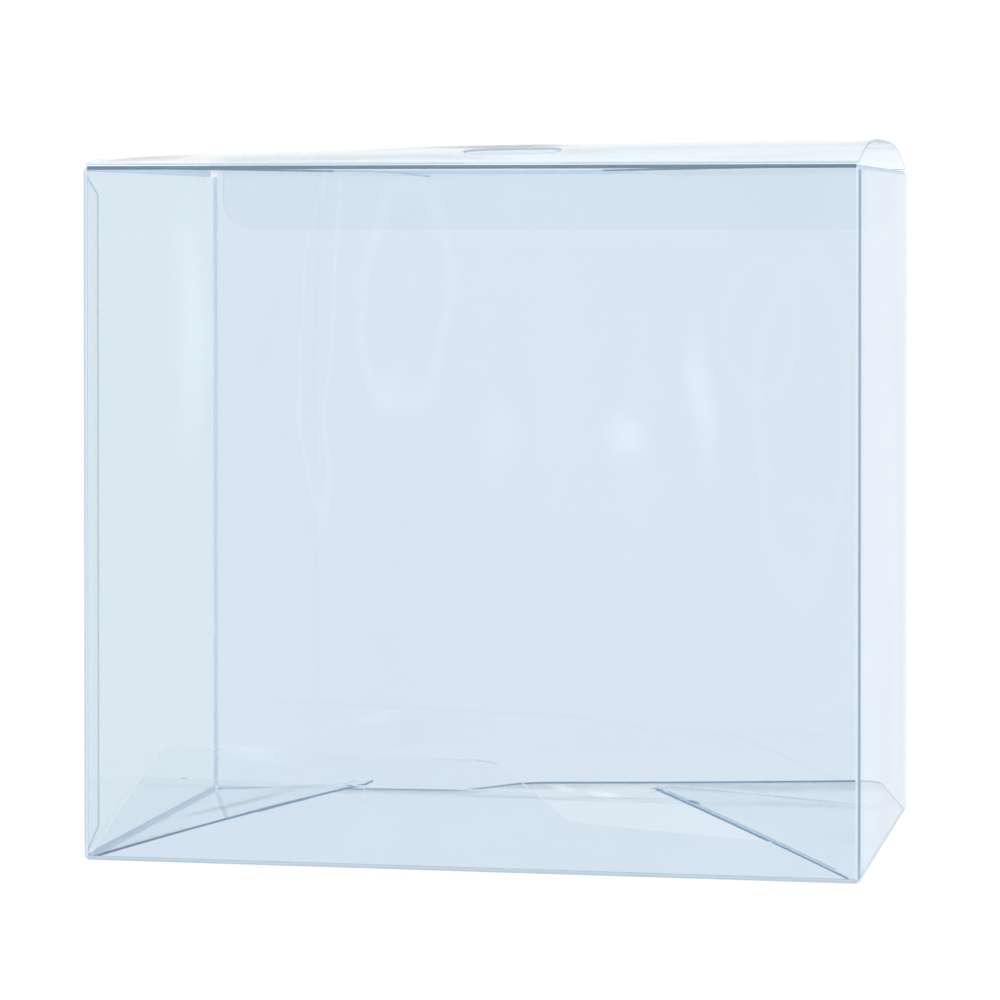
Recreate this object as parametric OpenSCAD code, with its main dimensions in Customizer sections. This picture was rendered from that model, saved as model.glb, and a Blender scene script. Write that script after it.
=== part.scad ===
// Clear folding case that stands around a figure's box. One creased sheet makes the
// four walls, the two dust flaps under the lid and the self-locking bottom. The lid
// bows upward, and its tuck flap slides down inside the back wall.
// X runs along the width, the front faces -Y, and the case stands on Z = 0.

/* [Case] */
// Outside width
case_w = 204; // [180:2:260]
// Outside depth
case_d = 132; // [120:2:180]
// Height of the walls
case_h = 182; // [120:2:260]
// Thickness of the sheet
sheet_t = 0.5; // [0.4:0.1:0.8]
// Outside radius of every crease
crease_r = 1.2; // [1:0.1:1.6]
// How far the bend of a crease stops short of each end of its flap
crease_relief = 0.3; // [0.1:0.1:1]
// Width of the glue flap inside the left wall
seam_w = 10; // [6:1:16]
// Bevel at both ends of the glue flap
seam_bevel = 5; // [2:1:8]

/* [Lid] */
// Rise of the bowed lid at the left end
rise_left = 2.9; // [1:0.1:6]
// Rise of the bowed lid at the right end
rise_right = 6.7; // [1:0.1:10]
// Exponent of the bow, where 2 is a parabola and more is flatter on top
bow_power = 3; // [2:0.1:4]
// Gap between the lid and the walls below it
lid_gap = 0.3; // [0.3:0.1:0.8]
// Gap between the tuck flap and the back wall
tuck_gap = 0.6; // [0.5:0.1:1.2]
// Height of the tuck flap
tuck_h = 16.5; // [10:0.5:22]
// Lean of the tuck flap from upright, in degrees
tuck_lean = 7; // [5:1:10]
// Distance from each end of the lid to the tuck flap
tuck_inset = 3; // [2:0.5:8]
// Radius of the tuck flap's lower corners
tuck_corner = 9; // [4:0.5:10]
// Width of the finger hole
hole_w = 26; // [16:1:40]
// Depth of the finger hole, front to back
hole_d = 10; // [6:1:14]
// How far the finger hole sits to the right of the middle
hole_x = 9.5; // [-20:0.5:20]
// Distance from the front crease to the middle of the finger hole
hole_y = 16; // [12:1:60]

/* [Dust flaps] */
// Length of each dust flap
dust_l = 66; // [40:1:80]
// Angle by which each dust flap hangs down
dust_droop = 1; // [0.5:0.1:4]
// Gap between a dust flap and the front wall
dust_front_gap = 1; // [0.6:0.1:4]
// Gap between a dust flap and the back wall, where the tuck flap goes
dust_back_gap = 5; // [4:0.5:10]
// Radius of the dust flaps' free corners
dust_corner = 5; // [2:0.5:10]

/* [Bottom] */
// Angle at which the wide bottom flaps rise toward the middle
dome_angle = 14; // [8:0.5:18]
// Reach of a wide flap at its deep end, along its own face
deep_l = 77; // [74:0.5:80]
// Reach of a wide flap at its cut-back end
shallow_l = 25; // [16:1:30]
// Slant of the hooks' edges against the front
hook_angle = 57; // [50:1:65]
// Radius of the hooks' corners
hook_r = 14; // [8:1:16]
// Slope of the cut-back edge
shallow_slope = 10; // [0:1:14]
// Gap between the hooks of the two wide flaps
hook_gap = 0.4; // [0.3:0.1:1]
// Radius of the deep corner beside the wall
deep_corner = 7; // [3:0.5:12]
// Gap between the bottom flaps and the walls
flap_gap = 0.6; // [0.4:0.1:1.5]
// Reach of a side flap along its own face
side_l = 63; // [40:1:66]
// Gap between the front crease and the glue tongue
tongue_gap = 3; // [2.5:0.5:6]
// Width of the glue tongue at its far end
glue_end = 12; // [6:1:20]
// Diameter of the vent hole in the right side flap
vent_d = 3.2; // [2:0.1:5]
// Distance of the vent hole from its flap's crease
vent_reach = 50; // [10:1:56]
// Distance of the vent hole from the middle of the depth
vent_side = 11; // [-4:1:4]

/* [Hidden] */
$fn = 48;

inner_r = crease_r - sheet_t;
half_w = case_w / 2;
half_d = case_d / 2;
angle_step = 0.1;
side_angle = floor(atan(tan(dome_angle) - sheet_t / side_l) / angle_step) * angle_step;
lid_front = -half_d + lid_gap;
lid_back = half_d - sheet_t - tuck_gap;
lid_l = lid_back - crease_r - lid_front;
lid_left = -half_w + sheet_t;
lid_cells_x = 16;
lid_cells_y = 24;

// Points of an arc about [x, y], from angle a0 to angle a1
function arc(x, y, r, a0, a1, n = 12) =
    [for (i = [0:n]) let(a = a0 + (a1 - a0) * i / n) [x + r * cos(a), y + r * sin(a)]];

// Rectangle with round corners, about the origin
module round_rect(w, d, r) {
    square([w - 2 * r, d], center = true);
    square([w, d - 2 * r], center = true);
    for (x = [-1, 1], y = [-1, 1])
        translate([x * (w / 2 - r), y * (d / 2 - r)]) circle(r);
}

// Bent strip of sheet along +X: the section turns about the origin from angle a0 to a1
module bend(length, a0, a1) {
    reach = 2 * crease_r;
    rotate([90, 0, 90]) linear_extrude(length) intersection() {
        difference() {
            circle(crease_r);
            circle(inner_r);
        }
        polygon(concat([[0, 0]], arc(0, 0, reach, a0, a1, 4)));
    }
}

// Sheet that starts at the end of a bottom crease and rises by an angle. Its outline is
// drawn with X along the crease and Y up the face from the crease.
module risen_sheet(angle) {
    translate([0, crease_r, crease_r]) rotate([angle, 0, 0])
        translate([0, 0, -crease_r]) linear_extrude(sheet_t) children();
}

// The four walls with their rounded upright creases
module walls() {
    difference() {
        translate([0, 0, crease_r]) linear_extrude(case_h - 2 * crease_r)
            round_rect(case_w, case_d, crease_r);
        linear_extrude(case_h) round_rect(case_w - 2 * sheet_t, case_d - 2 * sheet_t, inner_r);
    }
    // The front and back walls reach up to the lid between the notches at the corners
    for (y = [-half_d, half_d - sheet_t])
        translate([-half_w + crease_r, y, case_h / 2])
            cube([case_w - 2 * crease_r, sheet_t, case_h / 2]);
}

// Glue flap: it turns in from the front wall and lies inside the left wall
module seam_flap() {
    low = 2 * crease_r;
    high = case_h - 2 * crease_r;
    translate([-half_w + sheet_t, -half_d + sheet_t, 0]) rotate([90, 0, 90])
        linear_extrude(sheet_t) polygon([
            [0, low], [seam_w, low + seam_bevel], [seam_w, high - seam_bevel], [0, high]]);
}

// Dust flap on the left wall's top crease. It hangs a little, and its free corners are round.
module dust_flap() {
    front = -half_d + dust_front_gap + sheet_t;
    back = half_d - dust_back_gap - sheet_t;
    r = dust_corner;
    translate([-half_w + crease_r, 0, case_h - crease_r]) {
        translate([0, front + crease_relief, 0]) rotate([0, 0, 90])
            bend(back - front - 2 * crease_relief, 0, 90 + dust_droop);
        rotate([0, dust_droop, 0]) translate([0, 0, inner_r]) linear_extrude(sheet_t)
            polygon(concat([[0, front]], arc(dust_l - r, front + r, r, -90, 0),
                arc(dust_l - r, back - r, r, 0, 90), [[0, back]]));
    }
}

// Outline of a wide bottom flap: deep on the left, hooked at the middle, cut back on the
// right. Both hooks run along one slanted line through the middle of the bottom.
module wide_outline() {
    left = -half_w + sheet_t + flap_gap;
    right = -left;
    deep_y = deep_l - crease_r;
    end_y = shallow_l - crease_r;
    mid_x = -hook_gap / 2 / sin(hook_angle);
    mid_y = (half_d - crease_r) / cos(dome_angle);
    // Middle of the outer corner's arc, which ends on the slanted line
    top_y = deep_y - hook_r + hook_r * cos(hook_angle);
    top_x = mid_x - (top_y - mid_y) / tan(hook_angle) - hook_r * sin(hook_angle);
    // Middle of the inner corner's arc, tangent to the slanted line and the cut-back edge
    rise = end_y + (right - end_y) * tan(shallow_slope) + hook_r / cos(shallow_slope);
    low_x = (hook_r + mid_x * sin(hook_angle) - (rise - mid_y) * cos(hook_angle))
        / (sin(hook_angle) - cos(hook_angle) * tan(shallow_slope));
    low_y = rise - low_x * tan(shallow_slope);
    polygon(concat(
        [[left, 0]],
        arc(left + deep_corner, deep_y - deep_corner, deep_corner, 180, 90),
        arc(top_x, deep_y - hook_r, hook_r, 90, 90 - hook_angle),
        arc(low_x, low_y, hook_r, 270 - hook_angle, 270 - shallow_slope),
        [[right - end_y, end_y], [right, 0]]));
}

// Wide bottom flap on the front crease
module wide_flap() {
    edge = sheet_t + flap_gap;
    end = half_w - edge - crease_relief;
    translate([-end, -half_d + crease_r, crease_r]) bend(2 * end, 180, 270 + dome_angle);
    translate([0, -half_d, 0]) risen_sheet(dome_angle) wide_outline();
}

// Side flap on the left crease. Its front edge is the slanted crease of the glue tongue,
// and its back edge is cut at the same slant.
module side_flap(vent) {
    edge = sheet_t + flap_gap;
    reach = (side_l - crease_r) * cos(side_angle);
    corner = half_d - edge;
    end = corner - crease_relief;
    translate([-half_w + crease_r, end, crease_r]) rotate([0, 0, -90])
        bend(2 * end, 180, 270 + side_angle);
    translate([-half_w, 0, 0]) rotate([0, 0, -90]) risen_sheet(side_angle)
        difference() {
            polygon([[-corner, 0], [reach - corner, side_l - crease_r],
                [corner - reach, side_l - crease_r], [corner, 0]]);
            if (vent) translate([-vent_side, vent_reach]) circle(d = vent_d);
        }
}

// Glue tongue: it carries the side flap on past its slanted crease, under the wide flap
module glue_tongue() {
    reach = (side_l - crease_r) * cos(side_angle);
    far_x = reach + glue_end / 2;
    translate([-half_w, -half_d, -sheet_t]) risen_sheet(dome_angle)
        polygon([[2 * tongue_gap, tongue_gap], [reach, reach], [far_x, reach - glue_end],
            [far_x, glue_end], [reach - glue_end / 2, tongue_gap]]);
}

// Front half of the bottom, with the side flap that is glued to it
module bottom_half(vent) {
    wide_flap();
    side_flap(vent);
    glue_tongue();
}

// Rise of the lid over its front edge, at u along the width and v along the depth, from 0 to 1
function bow(u, v) =
    (rise_left + (rise_right - rise_left) * sin(90 * u)) * (1 - pow(abs(2 * v - 1), bow_power));

// Bowed panel of the lid as a thin shell
module lid_panel() {
    nx = lid_cells_x;
    ny = lid_cells_y;
    base = case_h + lid_gap;
    grid = [for (layer = [0, 1], i = [0:nx], j = [0:ny]) let(u = i / nx, v = j / ny)
        [lid_left * (1 - 2 * u), lid_front + v * lid_l, base + layer * sheet_t + bow(u, v)]];
    row = ny + 1;
    top = (nx + 1) * row;
    function at(layer, i, j) = layer * top + i * row + j;
    skin = [for (i = [0:nx - 1], j = [0:ny - 1])
        each [[at(0, i, j), at(0, i + 1, j), at(0, i + 1, j + 1)],
            [at(0, i, j), at(0, i + 1, j + 1), at(0, i, j + 1)],
            [at(1, i, j), at(1, i + 1, j + 1), at(1, i + 1, j)],
            [at(1, i, j), at(1, i, j + 1), at(1, i + 1, j + 1)]]];
    long_rims = [for (i = [0:nx - 1])
        each [[at(0, i, 0), at(1, i, 0), at(1, i + 1, 0)], [at(0, i, 0), at(1, i + 1, 0), at(0, i + 1, 0)],
            [at(0, i, ny), at(1, i + 1, ny), at(1, i, ny)],
            [at(0, i, ny), at(0, i + 1, ny), at(1, i + 1, ny)]]];
    end_rims = [for (j = [0:ny - 1])
        each [[at(0, 0, j), at(1, 0, j + 1), at(1, 0, j)], [at(0, 0, j), at(0, 0, j + 1), at(1, 0, j + 1)],
            [at(0, nx, j), at(1, nx, j), at(1, nx, j + 1)],
            [at(0, nx, j), at(1, nx, j + 1), at(0, nx, j + 1)]]];
    polyhedron(grid, concat(skin, long_rims, end_rims));
}

// Finger hole's cutter: a slot with round ends
module finger_hole() {
    run = hole_w - hole_d;
    translate([hole_x, -half_d + hole_y, case_h]) linear_extrude(rise_left + 2 * rise_right) {
        square([run, hole_d], center = true);
        for (x = [-run / 2, run / 2]) translate([x, 0]) circle(d = hole_d);
    }
}

// Tuck flap: it turns down from the lid's back edge and leans inward
module tuck_flap() {
    drop = tuck_h + lid_gap + sheet_t - crease_r;
    half = half_w - sheet_t - tuck_inset;
    r = tuck_corner;
    translate([0, lid_back - crease_r, case_h + lid_gap + sheet_t - crease_r]) {
        translate([-half + crease_relief, 0, 0])
            bend(2 * (half - crease_relief), -tuck_lean, 90);
        rotate([-90 - tuck_lean, 0, 0]) translate([0, 0, inner_r]) linear_extrude(sheet_t)
            polygon(concat([[-half, 0]], arc(-half + r, drop - r, r, 180, 90),
                arc(half - r, drop - r, r, 90, 0), [[half, 0]]));
    }
}

// Case: the walls, the seam, the dust flaps and the bottom of one folded sheet
module box() {
    color([0.83, 0.88, 0.93, 0.55]) {
        walls();
        seam_flap();
        dust_flap();
        mirror([1, 0, 0]) dust_flap();
        bottom_half(false);
        rotate([0, 0, 180]) bottom_half(true);
    }
}

// Lid: its bowed panel with the finger hole, and the tuck flap
module lid() {
    color([0.88, 0.92, 0.96, 0.55]) {
        difference() {
            lid_panel();
            finger_hole();
        }
        tuck_flap();
    }
}

box();
lid();
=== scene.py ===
"""Dressed scene of a clear folding case for a boxed figure.

The case is one creased sheet of clear plastic. Every class below is one part of that
sheet, with its sizes as fields and methods that shape and dress its meshes. All lengths
are in metres and all angles in degrees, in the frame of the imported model.
"""

import logging
import math
from collections.abc import Callable, Iterator
from contextlib import contextmanager
from dataclasses import dataclass, field
from enum import Enum

import bmesh
import bpy
from mathutils import Matrix, Vector

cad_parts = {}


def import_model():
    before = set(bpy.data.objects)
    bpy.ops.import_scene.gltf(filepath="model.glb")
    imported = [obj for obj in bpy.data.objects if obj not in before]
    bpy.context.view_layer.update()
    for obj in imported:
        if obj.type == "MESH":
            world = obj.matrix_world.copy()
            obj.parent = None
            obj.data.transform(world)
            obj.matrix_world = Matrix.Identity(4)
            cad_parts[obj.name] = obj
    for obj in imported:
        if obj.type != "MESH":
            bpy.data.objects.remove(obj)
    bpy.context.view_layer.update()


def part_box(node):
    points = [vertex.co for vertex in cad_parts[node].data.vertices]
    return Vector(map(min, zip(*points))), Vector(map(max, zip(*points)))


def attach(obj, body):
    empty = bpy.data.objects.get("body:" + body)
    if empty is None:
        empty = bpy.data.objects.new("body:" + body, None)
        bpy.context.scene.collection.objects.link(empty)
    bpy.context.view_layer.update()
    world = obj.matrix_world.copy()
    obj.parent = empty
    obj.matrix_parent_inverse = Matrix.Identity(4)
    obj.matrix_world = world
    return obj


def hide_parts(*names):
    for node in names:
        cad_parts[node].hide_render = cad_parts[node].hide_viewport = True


LOG = logging.getLogger("case")
Point = tuple[float, float]

# The thin loops shaped by the next two values are painted reflections in the film's tint.
LOOP_LEVEL = 0.52  # level of the noise at which a thin loop runs
LOOP_SHARPNESS = 90.0  # how thin the loops are
# The next two values shape the painted reflections and highlights on the front sheet.
RING_WIDTH = 0.22  # half width of a ring mark, as a share of its radius
REFLECTION_WANDER = 0.008  # how far a mark's outline wanders
ANY_DEPTH = 1e6  # a mark reaches this far along Y, so that it ignores the depth
BEND_STEP = 9.0  # degrees of a bend that one strip of faces covers
STRIP_STEP = 0.01  # length of the faces of a bend
FLAP_CELL = 0.008  # size of the faces of a flap
LAYERS = 28  # surfaces that light may pass through
MIRRORINGS = 8  # reflections that are followed
SEE_THROUGH = 32  # transparent surfaces that are followed


class Film(Enum):
    """Finishes of the one clear sheet, named for where they are seen; their tints are lighter and darker
    copies of one film that paint the light and shade of each place.
    """

    FRONT = "front_sheet"
    WALL = "wall_sheet"
    SIDE_LEFT = "left_side_sheet"
    SIDE_RIGHT = "right_side_sheet"
    LID = "lid_sheet"
    FLAP = "flap_sheet"
    BOTTOM = "bottom_sheet"
    CREASE = "crease"
    FIRM_CREASE = "dark_shaded_upright_crease"
    SOFT_CREASE = "mid_shaded_crease"
    FAINT_CREASE = "faint_crease"
    CREASE_FLANK = "crease_flank"
    FOLD = "painted_edge_shade_line"
    EDGE = "cut_edge"
    BRIGHT_EDGE = "light_shaded_cut_edge"
    FAR = "far_sheet"
    GLUED = "glued_sheet"


@dataclass(frozen=True)
class FilmFinish:
    """Clear plastic as it looks in one place of the case.

    Attributes:
        tint: Share of red, green and blue light that one layer lets through, set per place so that it also
            paints the light and shade there.
        roughness: Roughness of its faces.
        streaks: Strength of the painted reflection streaks, soft upright bands in its tint.
        rings: Strength of the painted reflection loops, thin lighter loops in its tint.
        ripple: Height of the waves in its faces, in metres.
        ior: Index of refraction, which sets how strongly it mirrors and bends.
        painted_reflections: True for the sheet that shows the painted reflections and highlights, lighter
            patches and loops in its tint.
        cover: Share of light that a painted crease or edge line stops, or 0 for a clear face; such a line is
            partly opaque and painted darker to stand for shade.
    """

    tint: tuple[float, float, float]
    roughness: float = 0.03
    streaks: float = 0.04
    rings: float = 0.01
    ripple: float = 0.0004
    ior: float = 1.5
    painted_reflections: bool = False
    cover: float = 0.0


# Each place gets its own copy of the one clear film: the tints are painted light and shade, such as the
# darker, bluer right side wall and the lighter lid.
FINISHES: dict[Film, FilmFinish] = {
    Film.FRONT: FilmFinish((0.815, 0.873, 0.925), rings=0.0, painted_reflections=True),
    Film.WALL: FilmFinish((0.815, 0.873, 0.925), rings=0.006),
    Film.SIDE_LEFT: FilmFinish((0.833, 0.894, 0.925), streaks=0.02, rings=0.0, ior=1.12),
    Film.SIDE_RIGHT: FilmFinish((0.75, 0.85, 0.955), 0.03, 0.02, 0.0, 0.0001, 1.10),
    Film.LID: FilmFinish((0.93, 0.97, 1.0), streaks=0.02, rings=0.0, ior=1.10),
    Film.FLAP: FilmFinish((0.93, 0.955, 0.968), streaks=0.02, rings=0.0, ior=1.2),
    Film.BOTTOM: FilmFinish((0.925, 0.955, 0.970), streaks=0.03, rings=0.0, ior=1.15),
    Film.CREASE: FilmFinish((0.24, 0.34, 0.44), 0.5, 0.2, 0.0, 0.0, cover=0.75),
    Film.FIRM_CREASE: FilmFinish((0.36, 0.48, 0.60), 0.5, 0.1, 0.0, 0.0, cover=0.85),
    Film.SOFT_CREASE: FilmFinish((0.56, 0.66, 0.76), 0.5, 0.1, 0.0, 0.0, cover=0.85),
    Film.FAINT_CREASE: FilmFinish((0.68, 0.78, 0.87), 0.5, 0.05, 0.0, 0.0, cover=0.55),
    Film.CREASE_FLANK: FilmFinish((0.72, 0.81, 0.90), 0.5, 0.05, 0.0, 0.0, cover=0.85),
    Film.FOLD: FilmFinish((0.20, 0.34, 0.48), 0.5, 0.2, 0.0, 0.0, cover=0.30),
    Film.EDGE: FilmFinish((0.25, 0.38, 0.50), 0.5, 0.1, 0.0, 0.0, cover=0.80),
    Film.BRIGHT_EDGE: FilmFinish((0.62, 0.72, 0.82), 0.5, 0.1, 0.0, 0.0, cover=0.80),
    Film.FAR: FilmFinish((0.975, 0.985, 0.99), 0.05, 0.0, 0.0, 0.0, 1.06),
    Film.GLUED: FilmFinish((0.985, 0.99, 0.995), 0.05, 0.0, 0.0, 0.0, 1.01),
}


@dataclass(frozen=True)
class PaintedReflection:
    """One painted reflection on the front sheet, a lighter patch or loop painted into its tint.

    Attributes:
        x: Its middle on X, in metres.
        z: Its middle on Z, in metres.
        half_x: Half of its width.
        half_z: Half of its height.
        gain: How much lighter the painted reflection makes the sheet there.
        ring: True for a thin loop, False for a soft patch.
    """

    x: float
    z: float
    half_x: float
    half_z: float
    gain: float
    ring: bool = False


# Painted reflections and highlights of the front sheet, as lighter patches and loops in its tint.
PAINTED_REFLECTIONS: tuple[PaintedReflection, ...] = (
    PaintedReflection(-0.0151, 0.1497, 0.0110, 0.0290, 0.024, ring=True),
    PaintedReflection(-0.0164, 0.1264, 0.0085, 0.0100, 0.030),
    PaintedReflection(-0.0375, 0.1390, 0.0040, 0.0470, 0.022, ring=True),
    PaintedReflection(-0.0730, 0.1390, 0.0070, 0.0440, 0.065),
    PaintedReflection(0.0867, 0.1170, 0.0120, 0.0410, 0.015, ring=True),
    PaintedReflection(0.0760, 0.1400, 0.0080, 0.0180, 0.012, ring=True),
    PaintedReflection(0.0616, 0.1217, 0.0055, 0.0280, 0.075),
    PaintedReflection(0.0412, 0.1108, 0.0090, 0.0100, 0.080),
    PaintedReflection(0.0087, 0.1140, 0.0070, 0.0150, 0.030),
    PaintedReflection(-0.0240, 0.0390, 0.0080, 0.0030, 0.045),
    PaintedReflection(-0.0547, 0.0276, 0.0160, 0.0028, 0.060),
    PaintedReflection(0.0278, 0.0209, 0.0045, 0.0011, 0.200),
    PaintedReflection(0.0383, 0.0210, 0.0060, 0.0012, 0.200),
)


@dataclass(frozen=True)
class CaseSizes:
    """Sizes that the parts of the case share.

    Attributes:
        width: Outside width.
        depth: Outside depth.
        height: Height of the walls.
        sheet: Thickness of the sheet.
        crease: Outside radius of a crease.
    """

    width: float
    depth: float
    height: float
    sheet: float = 0.0005
    crease: float = 0.0012

    @classmethod
    def from_frame(cls) -> "CaseSizes":
        """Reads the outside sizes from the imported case.

        Returns:
            The sizes of the case as it was packed.
        """
        low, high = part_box("box")
        return cls(high[0] - low[0], high[1] - low[1], high[2] - low[2])

    @property
    def half_w(self) -> float:
        """Half of the outside width."""
        return self.width / 2

    @property
    def half_d(self) -> float:
        """Half of the outside depth."""
        return self.depth / 2


def math_node(group: bpy.types.ShaderNodeTree, operation: str, a: object, b: object) -> bpy.types.NodeSocket:
    """Adds a math node to a shader group.

    Args:
        group: The group.
        operation: Name of the operation.
        a: Socket or number for the first input.
        b: Socket or number for the second input.

    Returns:
        The output socket.
    """
    node = group.nodes.new("ShaderNodeMath")
    node.operation = operation
    for slot, value in enumerate((a, b)):
        if isinstance(value, bpy.types.NodeSocket):
            group.links.new(value, node.inputs[slot])
        else:
            node.inputs[slot].default_value = value
    return node.outputs[0]


def scaled_tint(group: bpy.types.ShaderNodeTree, source: bpy.types.Node, gain: bpy.types.NodeSocket,
                result: bpy.types.Node) -> None:
    """Scales a group's Tint by a gain and puts it out as Color.

    Args:
        group: The group.
        source: Its input node.
        gain: The gain, where 1 leaves the tint as it is.
        result: Its output node.
    """
    scaled = group.nodes.new("ShaderNodeVectorMath")
    scaled.operation = "SCALE"
    group.links.new(source.outputs["Tint"], scaled.inputs[0])
    group.links.new(gain, scaled.inputs["Scale"])
    group.links.new(scaled.outputs["Vector"], result.inputs["Color"])


class FinishShelf:
    """Makes each finish once and hands it out."""

    def __init__(self) -> None:
        """Builds the shader groups that the finishes share."""
        self.sheen_and_ripple = self._sheen_and_ripple_group()
        self.painted_reflections = self._painted_reflections_group()
        self.made: dict[Film, bpy.types.Material] = {}

    @staticmethod
    def _sheen_and_ripple_group() -> bpy.types.ShaderNodeTree:
        """Builds the group of painted reflection streaks and loops, lighter and darker bands in the tint,
        and of the waves that bump the sheet's faces.

        Returns:
            The node group, with Tint, Streaks and Rings in and Color and Height out.
        """
        group = bpy.data.node_groups.new("painted_sheen_and_ripple", "ShaderNodeTree")
        face = group.interface
        face.new_socket(name="Tint", in_out="INPUT", socket_type="NodeSocketColor")
        face.new_socket(name="Streaks", in_out="INPUT", socket_type="NodeSocketFloat")
        face.new_socket(name="Rings", in_out="INPUT", socket_type="NodeSocketFloat")
        face.new_socket(name="Color", in_out="OUTPUT", socket_type="NodeSocketColor")
        face.new_socket(name="Height", in_out="OUTPUT", socket_type="NodeSocketFloat")
        nodes, links = group.nodes, group.links
        source = nodes.new("NodeGroupInput")
        result = nodes.new("NodeGroupOutput")
        place = nodes.new("ShaderNodeTexCoord")

        def stretched(scale: tuple[float, float, float], detail: float, bend: float) -> bpy.types.Node:
            """Adds noise on stretched object coordinates.

            Args:
                scale: Waves per metre along X, Y and Z.
                detail: Detail of the noise.
                bend: Distortion of the noise.

            Returns:
                The noise node.
            """
            mapping = nodes.new("ShaderNodeMapping")
            mapping.inputs["Scale"].default_value = scale
            noise = nodes.new("ShaderNodeTexNoise")
            noise.inputs["Scale"].default_value = 1.0
            noise.inputs["Detail"].default_value = detail
            noise.inputs["Distortion"].default_value = bend
            links.new(place.outputs["Object"], mapping.inputs["Vector"])
            links.new(mapping.outputs["Vector"], noise.inputs["Vector"])
            return noise

        # Bands and loops paint reflection streaks into the tint; the waves only bump the faces.
        bands = stretched((22.0, 22.0, 4.0), 2.0, 0.6)
        loops = stretched((9.0, 9.0, 4.5), 1.0, 0.8)
        waves = stretched((14.0, 14.0, 6.0), 1.0, 0.3)
        band = math_node(group, "SUBTRACT", bands.outputs["Fac"], 0.5)
        band = math_node(group, "MULTIPLY", band, source.outputs["Streaks"])
        away = math_node(group, "SUBTRACT", loops.outputs["Fac"], LOOP_LEVEL)
        away = math_node(group, "ABSOLUTE", away, 0.0)
        away = math_node(group, "MINIMUM", math_node(group, "MULTIPLY", away, LOOP_SHARPNESS), 1.0)
        line = math_node(group, "SUBTRACT", 1.0, away)
        line = math_node(group, "MULTIPLY", line, source.outputs["Rings"])
        gain = math_node(group, "ADD", math_node(group, "ADD", band, line), 1.0)
        scaled_tint(group, source, gain, result)
        links.new(waves.outputs["Fac"], result.inputs["Height"])
        return group

    @staticmethod
    def _painted_reflections_group() -> bpy.types.ShaderNodeTree:
        """Builds the group of painted reflections and highlights on the front sheet.

        Returns:
            The node group, with Tint in and Color out.
        """
        group = bpy.data.node_groups.new("painted_reflection_marks", "ShaderNodeTree")
        group.interface.new_socket(name="Tint", in_out="INPUT", socket_type="NodeSocketColor")
        group.interface.new_socket(name="Color", in_out="OUTPUT", socket_type="NodeSocketColor")
        nodes, links = group.nodes, group.links
        source = nodes.new("NodeGroupInput")
        result = nodes.new("NodeGroupOutput")
        place = nodes.new("ShaderNodeTexCoord")
        wander = nodes.new("ShaderNodeTexNoise")
        wander.inputs["Scale"].default_value = 16.0
        wander.inputs["Detail"].default_value = 2.0
        links.new(place.outputs["Object"], wander.inputs["Vector"])
        strength = nodes.new("ShaderNodeVectorMath")
        strength.operation = "MULTIPLY_ADD"
        strength.inputs[1].default_value = (2 * REFLECTION_WANDER, 0.0, 2 * REFLECTION_WANDER)
        strength.inputs[2].default_value = (-REFLECTION_WANDER, 0.0, -REFLECTION_WANDER)
        links.new(wander.outputs["Color"], strength.inputs[0])
        bent = nodes.new("ShaderNodeVectorMath")
        bent.operation = "ADD"
        links.new(place.outputs["Object"], bent.inputs[0])
        links.new(strength.outputs["Vector"], bent.inputs[1])
        total = None
        for mark in PAINTED_REFLECTIONS:
            mapping = nodes.new("ShaderNodeMapping")
            mapping.vector_type = "TEXTURE"
            mapping.inputs["Location"].default_value = (mark.x, 0.0, mark.z)
            mapping.inputs["Scale"].default_value = (mark.half_x, ANY_DEPTH, mark.half_z)
            links.new(bent.outputs["Vector"], mapping.inputs["Vector"])
            away = nodes.new("ShaderNodeVectorMath")
            away.operation = "LENGTH"
            links.new(mapping.outputs["Vector"], away.inputs[0])
            distance = away.outputs["Value"]
            if mark.ring:
                rim = math_node(group, "SUBTRACT", distance, 1.0)
                distance = math_node(group, "ABSOLUTE", rim, 0.0)
            fade = nodes.new("ShaderNodeMapRange")
            fade.interpolation_type = "SMOOTHSTEP"
            fade.inputs["From Min"].default_value = 0.0
            fade.inputs["From Max"].default_value = RING_WIDTH if mark.ring else 1.0
            fade.inputs["To Min"].default_value = mark.gain
            fade.inputs["To Max"].default_value = 0.0
            links.new(distance, fade.inputs["Value"])
            light = fade.outputs["Result"]
            total = light if total is None else math_node(group, "ADD", total, light)
        scaled_tint(group, source, math_node(group, "ADD", total, 1.0), result)
        return group

    def get(self, film: Film) -> bpy.types.Material:
        """Gives the material of a finish, made on first use.

        Args:
            film: The finish that is wanted.

        Returns:
            Its material.
        """
        if film not in self.made:
            self.made[film] = self._make(film, FINISHES[film])
        return self.made[film]

    def _make(self, film: Film, finish: FilmFinish) -> bpy.types.Material:
        """Builds one clear material.

        Args:
            film: The finish's name.
            finish: Its values.

        Returns:
            The material.
        """
        material = bpy.data.materials.new(film.value)
        material.use_nodes = True
        nodes, links = material.node_tree.nodes, material.node_tree.links
        nodes.clear()
        output = nodes.new("ShaderNodeOutputMaterial")
        body = nodes.new("ShaderNodeBsdfPrincipled")
        body.inputs["Transmission Weight"].default_value = 0.0 if finish.cover else 1.0
        body.inputs["IOR"].default_value = finish.ior
        body.inputs["Roughness"].default_value = finish.roughness
        if finish.cover:
            body.inputs["Specular IOR Level"].default_value = 0.1
            body.inputs["Alpha"].default_value = finish.cover
        sheen_and_ripple = nodes.new("ShaderNodeGroup")
        sheen_and_ripple.node_tree = self.sheen_and_ripple
        sheen_and_ripple.inputs["Tint"].default_value = (*finish.tint, 1.0)
        sheen_and_ripple.inputs["Streaks"].default_value = finish.streaks
        sheen_and_ripple.inputs["Rings"].default_value = finish.rings
        color = sheen_and_ripple.outputs["Color"]
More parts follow.
